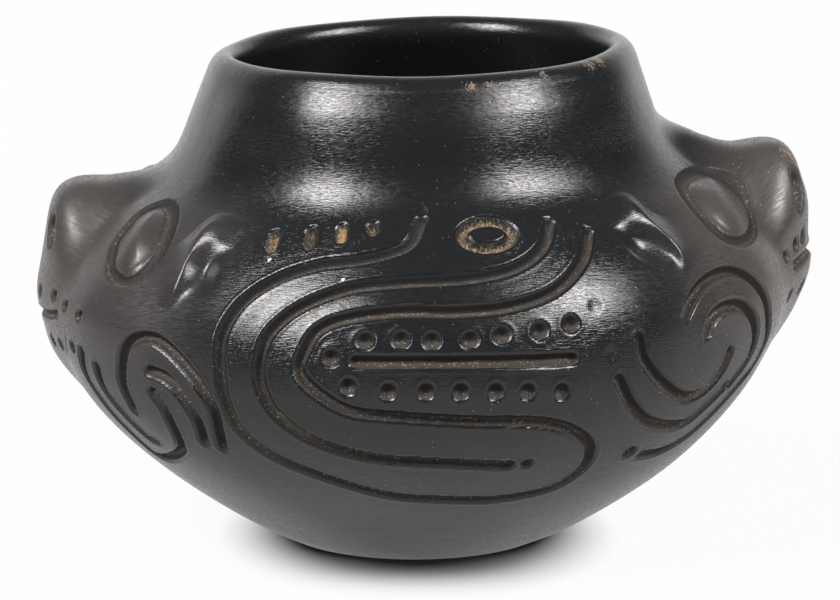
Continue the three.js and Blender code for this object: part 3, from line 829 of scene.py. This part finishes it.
def vessel_skin():
    """The vessel from the edge of the foot up, over the lip and down the inside to the edge of the floor."""
    around, ups = np.meshgrid(angles, outer_ups)
    lift = wall_lift(around, ups)
    under = under_applied(around, ups)
    crown = bend(lip, up_neck, LIP_PULL, np.array(wall_point(LIP_UP, -WALL)), -up_neck, LIP_PULL)
    crown = crown[np.linspace(0, CURVE_POINTS - 1, CROWN_ROWS + 2).astype(int)][1:-1]
    inside = np.vstack([crown, np.stack(wall_point(inner_ups, -WALL), -1)])
    steps = np.linalg.norm(np.diff(np.vstack([lip, inside]), axis=0), axis=1)
    inside_around, inside_ups = np.meshgrid(angles, LIP_UP + np.cumsum(steps))
    kept = 1 - smooth(np.arange(len(inside)), 0, CROWN_ROWS)
    pushed = inside[:, :1] + kept[:, None] * unevenness(angles, LIP_UP)
    inside_points = hand_built(inside_around, pushed, inside[:, 1:])
    smooth_points = np.concatenate([surface(around, ups, lift), inside_points])
    points = np.concatenate([surface(around, ups, lift - UNDERLAP * under), inside_points])
    all_around = np.concatenate([around, inside_around])
    return Skin(points, round_normals(smooth_points), all_around, np.concatenate([ups, inside_ups]))


def disc_skin(radii, height, ups):
    """Rings of a level disc on the axis."""
    around, spread = np.meshgrid(angles, radii)
    points = hand_built(around, spread, np.full_like(spread, height))
    return Skin(points, round_normals(points), around, np.broadcast_to(np.array(ups)[:, None], spread.shape))


def clay_normals(around, ups):
    """Outward normals of the carved clay, from its height a little to each side."""
    turn = ROW_STEP / BELLY_RADIUS
    left, right = (surface(a, ups, clay_lift(a, ups)) for a in (around - turn, around + turn))
    below, above = (surface(around, u, clay_lift(around, u)) for u in (ups - ROW_STEP, ups + ROW_STEP))
    return unit(np.cross(right - left, above - below))


def applied_skins(around, ups):
    """The face of an applied piece at places on the wall, and its bed under the wall's face."""
    normals = clay_normals(around, ups)
    face = Skin(surface(around, ups, clay_lift(around, ups)), normals, around, ups)
    bed = Skin(surface(around, ups, wall_lift(around, ups) - BED_DEPTH), -normals, around, ups)
    return face, bed


def slab_skin(around, ups):
    """An applied piece whose rows run along it: across its face and back across its bed."""
    across, along = np.gradient(around), np.gradient(ups)
    middle = tuple(size // 2 for size in around.shape)
    if across[1][middle] * along[0][middle] < across[0][middle] * along[1][middle]:
        around, ups = around[:, ::-1], ups[:, ::-1]
    face, bed = applied_skins(around, ups)
    return one_skin([face, bed.flipped(1)], axis=1)


def muzzle_skin(head, first_up, last_up):
    """The part of a head's ridge between two distances up the wall, with rows that follow the mouth."""
    rows = np.linspace(first_up, last_up, round((last_up - first_up) / PATCH_STEP))
    shares = np.linspace(-1, 1, round(2 * LIP_HALF_BREADTH / PATCH_STEP))
    breadths = ridge_half_breadth(head, rows)
    across = shares * breadths[:, None]
    by_mouth = 1 - smooth(np.abs(rows - head.mouth_up), 0, CHIN_BELOW_MOUTH)
    ups = rows[:, None] - mouth_droop(head, across) * by_mouth[:, None]
    return slab_skin(head.facing + across / wall_point(ups, 0)[0], ups)


def ear_skin(head, side):
    ear = ears[head.name]
    along = np.arange(-EAR_PAST_CREST, ear.length + EAR_PAST_CREST, PATCH_STEP)
    beyond = np.linspace(-EAR_CHEEK_BREADTH, EAR_FINGER_PANEL_BREADTH, EAR_COLUMNS)
    fold, ups = ear.place(*np.meshgrid(along, beyond, indexing="ij"))
    return slab_skin(head.facing + side * fold, ups)


def eye_skin(head, side):
    """An eye's almond out to the middle of its ring: its bed outwards, then its face inwards."""
    eye_form = eyes[head.name]
    across, along = (eye_form.path - eye_form.centre).T
    outward = np.linspace(EYE_MIDDLE_SHARE, 1, EYE_ROWS)[:, None]
    around = head.facing + side * (eye_form.centre[0] + outward * across)
    ups = eye_form.centre[1] + outward * along
    swept = (across * np.gradient(along) - along * np.gradient(across)).sum()
    if side * swept < 0:
        around, ups = around[:, ::-1], ups[:, ::-1]
    face, bed = applied_skins(around, ups)
    return one_skin([bed, face.flipped(0)])


worn_spots = [(*front.place(pixel), radius) for pixel, radius in WORN_SPOTS]
worn_spots += [(math.radians(turn) - np.pi / 2, LIP_UP + past, radius) for turn, past, radius in WORN_LIP]
chipped_spots = [(*front.place(pixel), radius) for pixel, radius in CHIPPED_SPOTS]


def near_spots(spots, around, ups):
    """From 0 to 1, how near places are to spots on the front or, half a turn on, on the back."""
    nearness = np.zeros(np.shape(around))
    for angle, up, radius in spots:
        for turn in (0, np.pi):
            aside = turn_between(around, angle + turn) * wall_point(up, 0)[0]
            nearness = np.maximum(nearness, 1 - smooth(np.hypot(aside, ups - up), 0, radius))
    return nearness


def faces_between(rows, columns, closed):
    """Faces between rows of points that run round, and their places on the texture."""
    lower = np.arange(rows if closed else rows - 1)[:, None]
    left = np.arange(columns)[None, :]
    steps = [(0, 0), (0, 1), (1, 1), (1, 0)]
    corners = [(lower + r) % rows * columns + (left + c) % columns for r, c in steps]
    places = [np.broadcast_arrays((left + c) / columns, STRIP_SHARE * (lower + r) / rows) for r, c in steps]
    faces = np.stack([corner.ravel() for corner in corners], -1)
    places = [np.stack(place, -1).reshape(-1, 2) for place in places]
    return faces.tolist(), np.stack(places, 1).reshape(-1, 2)


def cap_faces(rows, columns):
    """A face over the first row and one over the last, and their two discs above the rows' texture."""
    ring = np.arange(columns)
    turn = 2 * np.pi * ring / columns
    disc = (1 - STRIP_SHARE) / 3 * np.stack([np.cos(turn), np.sin(turn)], -1)
    middle = (1 + STRIP_SHARE) / 2
    faces = [ring[::-1].tolist(), ((rows - 1) * columns + ring).tolist()]
    return faces, np.concatenate([disc[::-1] + [1 / 4, middle], disc + [3 / 4, middle]])


def add_object(name, data):
    thing = bpy.data.objects.new(name, data)
    bpy.context.scene.collection.objects.link(thing)
    return thing


def add_piece(node, skin, slot, closed=False):
    """Makes the mesh that stands for a CAD node, with what its material reads at every point."""
    rows, columns = skin.ups.shape
    faces, places = faces_between(rows, columns, closed)
    if not closed:
        caps, cap_places = cap_faces(rows, columns)
        faces, places = faces + caps, np.concatenate([places, cap_places])
    mesh = bpy.data.meshes.new(node)
    mesh.from_pydata((skin.points * MM).reshape(-1, 3).tolist(), [], faces)
    mesh.uv_layers.new(name="OFBake").data.foreach_set("uv", places.ravel())
    mesh.shade_smooth()
    mesh.normals_split_custom_set_from_vertices(skin.normals.reshape(-1, 3).tolist())
    around, ups = skin.angles.ravel(), skin.ups.ravel()
    wall_place = MM * np.stack([BELLY_RADIUS * np.cos(around), BELLY_RADIUS * np.sin(around), ups], -1)
    mesh.attributes.new("place", "FLOAT_VECTOR", "POINT").data.foreach_set("vector", wall_place.ravel())
    shares = {
        "carved": on_grid(mark_share, around, ups),
        # Dust and painted light on the up-facing walls and floors of marks.
        "dust_and_light": on_grid(mark_dust_and_light, around, ups),
        "tan": on_grid(mark_tan, around, ups),
        "worn": near_spots(worn_spots, around, ups),
        "chipped": near_spots(chipped_spots, around, ups),
        "face": facing_a_head(around, wall_point(ups, 0)[1], SATIN_FULL_ANGLE, SATIN_EDGE_ANGLE),
    }
    for name, values in shares.items():
        mesh.attributes.new(name, "FLOAT", "POINT").data.foreach_set("value", values)
    mesh.materials.append(clays[slot])
    piece = add_object("look_" + node, mesh)
    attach(piece, "root")
    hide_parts(node)


# Materials: one clay, told apart by slot so that a scene can repaint each.
def new_material(name):
    material = bpy.data.materials.new(name)
    material.use_nodes = True
    return material, material.node_tree


def add_node(tree, kind, inputs=(), **settings):
    """A shader node with settings, whose inputs are values or other nodes' outputs, by name or number."""
    node = tree.nodes.new("ShaderNode" + kind)
    for name, value in settings.items():
        setattr(node, name, value)
    for name, value in dict(inputs).items():
        if isinstance(value, bpy.types.NodeSocket):
            tree.links.new(value, node.inputs[name])
        else:
            node.inputs[name].default_value = value
    return node


def share_of(tree, name):
    return add_node(tree, "Attribute", attribute_name=name).outputs["Fac"]


def mixed(tree, share, first, second):
    """A colour between two, by a share."""
    inputs = {0: share, 6: first, 7: second}
    return add_node(tree, "Mix", inputs, data_type="RGBA").outputs[2]


def math_of(tree, operation, first, second):
    return add_node(tree, "Math", {0: first, 1: second}, operation=operation).outputs[0]


def ranged(tree, value, from_low, from_high, to_low=0, to_high=1):
    """A value that goes smoothly from one level to another while a second value crosses a range."""
    inputs = {"Value": value, 1: from_low, 2: from_high, 3: to_low, 4: to_high}
    return add_node(tree, "MapRange", inputs, interpolation_type="SMOOTHSTEP").outputs["Result"]


def noise(tree, vector, size, detail, slant=(0, 0, 0)):
    """Noise whose patches have a size in metres along each axis, turned by slant."""
    inputs = {"Vector": vector, "Rotation": slant, "Scale": size}
    patches = add_node(tree, "Mapping", inputs, vector_type="TEXTURE").outputs["Vector"]
    return add_node(tree, "TexNoise", {"Vector": patches, "Scale": 1, "Detail": detail}).outputs["Fac"]


def grains(tree, vector, cells_per_metre, radius, kept):
    """From 0 to 1, round grains of a radius in cells, in a share of the cells."""
    cells = add_node(tree, "TexVoronoi", {"Vector": vector, "Scale": cells_per_metre})
    chance = add_node(tree, "SeparateColor", {0: cells.outputs["Color"]}).outputs[0]
    inside = ranged(tree, cells.outputs["Distance"], radius, GRAIN_EDGE * radius, 1, 0)
    return math_of(tree, "MULTIPLY", inside, math_of(tree, "LESS_THAN", chance, kept))


def weighted(tree, *pairs):
    """The sum of values times their weights."""
    terms = [math_of(tree, "MULTIPLY", value, weight) for value, weight in pairs]
    total = terms[0]
    for term in terms[1:]:
        total = math_of(tree, "ADD", total, term)
    return total


# Colours of the clay and of what lies in its marks.
BURNISHED = (0.0105, 0.0117, 0.013, 1)
BROWNED = (0.094, 0.086, 0.08, 1)
# Painted shade for the down-facing walls of marks, then dust with painted light for their up-facing walls and
# floors.
PAINTED_SHADE_IN_CUTS = (0.005, 0.0042, 0.0035, 1)
DUST_AND_PAINTED_LIGHT = (0.052, 0.043, 0.035, 1)
SAND = (0.4, 0.34, 0.24, 1)
BEIGE = (0.2, 0.17, 0.12, 1)
TAN = (0.36, 0.23, 0.11, 1)
RUBBED = (0.20, 0.15, 0.10, 1)
SPECK = (0.32, 0.31, 0.29, 1)
CHIP = (0.75, 0.75, 0.72, 1)
CUT_ROUGHNESS = (0.7, 0.7, 0.7, 1)

# Patterns: size in metres along each axis, detail, and the slant of strokes.
STROKE_SLANT = (math.radians(-12), 0, 0)
STROKES = ((0.0026, 0.0026, 0.00024), 3, STROKE_SLANT)
HAND_STROKES = ((0.017, 0.017, 0.007), 3, STROKE_SLANT)
BLOTCHES = ((0.03, 0.03, 0.03), 5)
CRUMBS = ((0.0006, 0.0006, 0.0006), 2)

# Grains: cells to the metre, radius in cells, share of the cells that hold one, and how far its edge fades.
SAND_GRAINS = (1700, 0.2, 0.55)
SPECK_GRAINS = (650, 0.055, 0.4)
GRAIN_EDGE = 1.5

# Ranges in which wear, fill, cuts and chips come in. Crumbs make the edges of wear and fill ragged.
WORN_WEIGHT = 0.5
CRUMB_WEIGHT = 2
RUBBED_RANGE = (1.3, 1.55)
RUBBED_EDGE = (0, 0.3)
FILLED_RANGE = (1.2, 2)
FILLED_EDGE = (0, 0.15)
CUT_EDGE = (0.1, 0.35)
CHIP_EDGE = (0.2, 0.5)

# Gloss: roughness on and between the tracks of the burnishing stone, and what satin and wear add to it.
BURNISH_IOR = 1.5
TRACK_RANGE = (0.42, 0.6)
TRACK_ROUGHNESS = (0.1, 0.25)
SATIN_ROUGHNESS = 0.19
RUBBED_ROUGHNESS = 0.3

# Fine relief: its distance in metres and its strength.
STROKE_RELIEF = (0.00012, 0.7)
HAND_STROKE_RELIEF = (0.0004, 0.4)
CRUMB_RELIEF = (0.0003, 0.6)
SATIN_STROKE_SHARE = 0.4


def blackware(slot):
    """Smoke-blackened clay with burnishing strokes, pale grains, and matt sandy marks with painted shade on
    their down-facing walls and dust and painted light on their up-facing ones.
    """
    material, tree = new_material(slot)
    shader = tree.nodes["Principled BSDF"]
    shader.inputs["IOR"].default_value = BURNISH_IOR
    place = add_node(tree, "Attribute", attribute_name="place").outputs["Vector"]
    strokes = noise(tree, place, *STROKES)
    hand_strokes = noise(tree, place, *HAND_STROKES)
    blotches = noise(tree, place, *BLOTCHES)
    crumbs = noise(tree, place, *CRUMBS)
    sand = grains(tree, place, *SAND_GRAINS)
    specks = grains(tree, place, *SPECK_GRAINS)
    names = ("carved", "dust_and_light", "tan", "worn", "chipped", "face")
    cut, dust_and_light, tan, worn, chipped, face = (share_of(tree, name) for name in names)
    colour = mixed(tree, math_of(tree, "MULTIPLY", face, blotches), BURNISHED, BROWNED)
    ragged = weighted(tree, (worn, WORN_WEIGHT), (crumbs, CRUMB_WEIGHT))
    rubbed = ranged(tree, ragged, *RUBBED_RANGE)
    rubbed = math_of(tree, "MULTIPLY", rubbed, ranged(tree, worn, *RUBBED_EDGE))
    colour = mixed(tree, rubbed, colour, RUBBED)
    colour = mixed(tree, specks, colour, SPECK)
    # Painted shade on down-facing mark walls, dust and painted light on up-facing ones, with sand grains.
    cut_colour = mixed(tree, dust_and_light, PAINTED_SHADE_IN_CUTS, mixed(tree, sand, DUST_AND_PAINTED_LIGHT, SAND))
    filled = ranged(tree, weighted(tree, (tan, 1), (crumbs, CRUMB_WEIGHT)), *FILLED_RANGE)
    filled = math_of(tree, "MULTIPLY", filled, ranged(tree, tan, *FILLED_EDGE))
    cut_colour = mixed(tree, filled, cut_colour, mixed(tree, tan, BEIGE, TAN))
    in_cut = ranged(tree, cut, *CUT_EDGE)
    colour = mixed(tree, in_cut, colour, cut_colour)
    colour = mixed(tree, ranged(tree, chipped, *CHIP_EDGE), colour, CHIP)
    tree.links.new(colour, shader.inputs["Base Color"])
    between_tracks = ranged(tree, strokes, *TRACK_RANGE, *TRACK_ROUGHNESS)
    roughness = weighted(tree, (between_tracks, 1), (face, SATIN_ROUGHNESS), (rubbed, RUBBED_ROUGHNESS))
    tree.links.new(mixed(tree, in_cut, roughness, CUT_ROUGHNESS), shader.inputs["Roughness"])
    normal = None
    reliefs = [
        (math_of(tree, "MULTIPLY", strokes, ranged(tree, face, 0, 1, 1, SATIN_STROKE_SHARE)), *STROKE_RELIEF),
        (hand_strokes, *HAND_STROKE_RELIEF),
        (math_of(tree, "MULTIPLY", crumbs, in_cut), *CRUMB_RELIEF),
    ]
    for height, distance, strength in reliefs:
        inputs = {"Height": height, "Distance": distance, "Strength": strength}
        if normal:
            inputs["Normal"] = normal
        normal = add_node(tree, "Bump", inputs).outputs["Normal"]
    tree.links.new(normal, shader.inputs["Normal"])
    return material


clays = {slot: blackware(slot) for slot in ("burnished_wall", "worn_rim", "modelled_head")}


def add_bowl():
    """Adds the courses of the vessel, from the foot up, and then the pieces of both heads."""
    vessel = vessel_skin()
    inner_start = len(outer_ups) + CROWN_ROWS
    outer = [int(mark) for mark in outer_marks]
    inner = [inner_start + int(mark) for mark in reversed(inner_marks)]
    foot_radii = np.linspace(FOOT_MIDDLE_RADIUS, FOOT_RADIUS, FOOT_RINGS)[:-1]
    floor_radius, floor_height = wall_point(FOOT_UP, -WALL)
    floor_radii = np.linspace(floor_radius, FOOT_MIDDLE_RADIUS, FOOT_RINGS)[1:]
    floor_ups = vessel.ups[-1, 0] + floor_radius - floor_radii
    pat = [
        disc_skin(foot_radii, 0, FOOT_UP - FOOT_RADIUS + foot_radii),
        vessel.rows(outer[0], outer[1]),
        vessel.rows(inner[1], inner[0]),
        disc_skin(floor_radii, floor_height, floor_ups),
    ]
    add_piece("base_pat", one_skin(pat), "burnished_wall")
    for index, node in enumerate(("lower_wall", "shoulder_wall", "neck_collar"), start=1):
        course = [vessel.rows(outer[index], outer[index + 1]), vessel.rows(inner[index + 1], inner[index])]
        add_piece(node, one_skin(course), "burnished_wall", closed=True)
    coil = len(JOINT_HEIGHTS)
    add_piece("rim_coil", vessel.rows(outer[coil], inner[coil]), "worn_rim", closed=True)
    for head in HEADS:
        ups = ridge_rows(head)[:, 0]
        add_piece(f"{head.name}_muzzle", muzzle_skin(head, head.mouth_up, ups[-1]), "modelled_head")
        add_piece(f"{head.name}_jaw", muzzle_skin(head, ups[0], head.mouth_up), "modelled_head")
        front_side = 1 if head is LEFT else -1
        for end, side in (("front", front_side), ("rear", -front_side)):
            add_piece(f"{head.name}_{end}_eye", eye_skin(head, side), "modelled_head")
            add_piece(f"{head.name}_{end}_ear", ear_skin(head, side), "modelled_head")


# The studio: a pale floor that fades to white, two soft light boxes, a pale backdrop and a dark front.
WHITE = (1, 1, 1, 1)
# The paper is grey: near the foot, before it fades to white, it darkens the floor round the real shadow as
# painted shade.
FLOOR_COLOUR = (0.5, 0.495, 0.487, 1)
FLOOR_FRONT = -0.45
FLOOR_REACH = 3

# How far from the axis the floor's fade starts and ends, in metres, and the share of white at both, as the
# camera sees it and as a gloss shows it. Places are stretched and shifted before they are measured, so that
# the grey paper near the foot, painted shade round the real shadow, reaches further in front than to the
# sides.
FLOOR_FADE = (0.038, 0.068, 0, 0.96)
GLOSS_FADE = (0.05, 0.2, 0.4, 0.25)
FADE_STRETCH = (1.25, 1, 1)
FADE_SHIFT = (0, 0.008, 0)

# Light boxes, in degrees: round from the front, to the right, up, and half their breadth and height.
LIGHT_BOXES = [(-59, 42, 11.2, 11.5), (55, 40, 10.6, 9.8)]
BOX_SOFT_EDGE = 3.5
BOX_COLOUR = (1, 0.97, 0.96, 1)
BOX_STRENGTH = 27
LEAST_AHEAD = 0.001

# The backdrop comes in between two shares of a direction that point back, and thins out between two that
# point up.
BACKDROP_COLOUR = (1, 0.96, 0.925, 1)
BACKDROP_TURN = (0.5, 0.8)
BACKDROP_TOP = (0.3, 0.6)
OVERHEAD_SHARE = 0.3
BACKDROP_STRENGTH = 0.6
FRONT_STRENGTH = 0.07


def seen_share(tree, on_camera, in_gloss):
    """One share where the camera sees a place directly, another where it does in a gloss or through glass."""
    kinds = add_node(tree, "LightPath").outputs
    glossy_or_clear = math_of(tree, "MAXIMUM", kinds["Is Glossy Ray"], kinds["Is Transmission Ray"])
    return weighted(tree, (kinds["Is Camera Ray"], on_camera), (glossy_or_clear, in_gloss))


def show(tree, end, share, first, second):
    """Ends a tree with a mixture of two shaders, by a share."""
    both = add_node(tree, "MixShader", {0: share, 1: first.outputs[0], 2: second.outputs[0]})
    tree.links.new(both.outputs[0], tree.nodes[end].inputs["Surface"])


def add_floor():
    front_edge = [(side * FLOOR_REACH, FLOOR_FRONT, 0) for side in (-1, 1)]
    back_edge = [(side * FLOOR_REACH, FLOOR_REACH, 0) for side in (1, -1)]
    mesh = bpy.data.meshes.new("floor")
    mesh.from_pydata(front_edge + back_edge, [], [(0, 1, 2, 3)])
    material, tree = new_material("floor")
    paper = add_node(tree, "BsdfDiffuse", {"Color": FLOOR_COLOUR})
    white = add_node(tree, "Emission", {"Color": WHITE})
    place = add_node(tree, "NewGeometry").outputs["Position"]
    shaped = add_node(tree, "Mapping", {"Vector": place, "Location": FADE_SHIFT, "Scale": FADE_STRETCH})
    inputs = {0: shaped.outputs["Vector"]}
    distance = add_node(tree, "VectorMath", inputs, operation="LENGTH").outputs["Value"]
    whitened = seen_share(tree, ranged(tree, distance, *FLOOR_FADE), ranged(tree, distance, *GLOSS_FADE))
    show(tree, "Material Output", whitened, paper, white)
    mesh.materials.append(material)
    floor = add_object("floor", mesh)


def dot_product(tree, vector, axis):
    return add_node(tree, "VectorMath", {0: vector, 1: axis}, operation="DOT_PRODUCT").outputs["Value"]


def box_glow(tree, towards, azimuth, elevation, half_width, half_height):
    """From 0 to 1, how far a direction meets a light box with soft edges. Angles are in degrees."""
    turn, rise = math.radians(azimuth), math.radians(elevation)
    ahead = (math.sin(turn) * math.cos(rise), -math.cos(turn) * math.cos(rise), math.sin(rise))
    aside = (math.cos(turn), math.sin(turn), 0)
    above = (-math.sin(turn) * math.sin(rise), math.cos(turn) * math.sin(rise), math.cos(rise))
    depth = math_of(tree, "MAXIMUM", dot_product(tree, towards, ahead), LEAST_AHEAD)
    shares = []
    for axis, half_size in ((aside, half_width), (above, half_height)):
        slope = math_of(tree, "DIVIDE", dot_product(tree, towards, axis), depth)
        inner, outer = (math.tan(math.radians(half_size + edge)) for edge in (-BOX_SOFT_EDGE, BOX_SOFT_EDGE))
        shares.append(ranged(tree, math_of(tree, "ABSOLUTE", slope, 0), inner, outer, 1, 0))
    return math_of(tree, "MULTIPLY", *shares)


def add_world():
    """Light from two soft boxes and a pale backdrop, dark in front, and white where the camera sees it."""
    world = bpy.data.worlds.new("studio")
    bpy.context.scene.world = world
    world.use_nodes = True
    tree = world.node_tree
    towards = add_node(tree, "TexCoord").outputs["Generated"]
    axes = add_node(tree, "SeparateXYZ", {0: towards}).outputs
    behind = ranged(tree, axes["Y"], *BACKDROP_TURN, 0, 1)
    behind = math_of(tree, "MULTIPLY", behind, ranged(tree, axes["Z"], *BACKDROP_TOP, 1, OVERHEAD_SHARE))
    pale = weighted(tree, (behind, BACKDROP_STRENGTH), (1, FRONT_STRENGTH))
    backdrop = add_node(tree, "Background", {"Color": BACKDROP_COLOUR, "Strength": pale})
    glows = [box_glow(tree, towards, *box) for box in LIGHT_BOXES]
    glow = math_of(tree, "MULTIPLY", math_of(tree, "ADD", *glows), BOX_STRENGTH)
    boxes = add_node(tree, "Background", {"Color": BOX_COLOUR, "Strength": glow})
    studio = add_node(tree, "AddShader", {0: backdrop.outputs[0], 1: boxes.outputs[0]})
    white = add_node(tree, "Background", {"Color": WHITE})
    whitened = seen_share(tree, 1, behind)
    show(tree, "World Output", whitened, studio, white)


def add_camera():
    camera = bpy.data.cameras.new("camera")
    camera.sensor_width = SENSOR_MM
    camera.lens = SENSOR_MM * FOCAL_PIXELS / PHOTO_WIDTH
    holder = add_object("camera", camera)
    holder.location = Vector(eye) * MM
    holder.rotation_euler = Vector(sight).to_track_quat("-Z", "Y").to_euler()
    bpy.context.scene.camera = holder


add_bowl()
add_floor()
add_world()
add_camera()
bpy.context.scene.view_settings.view_transform = "Standard"
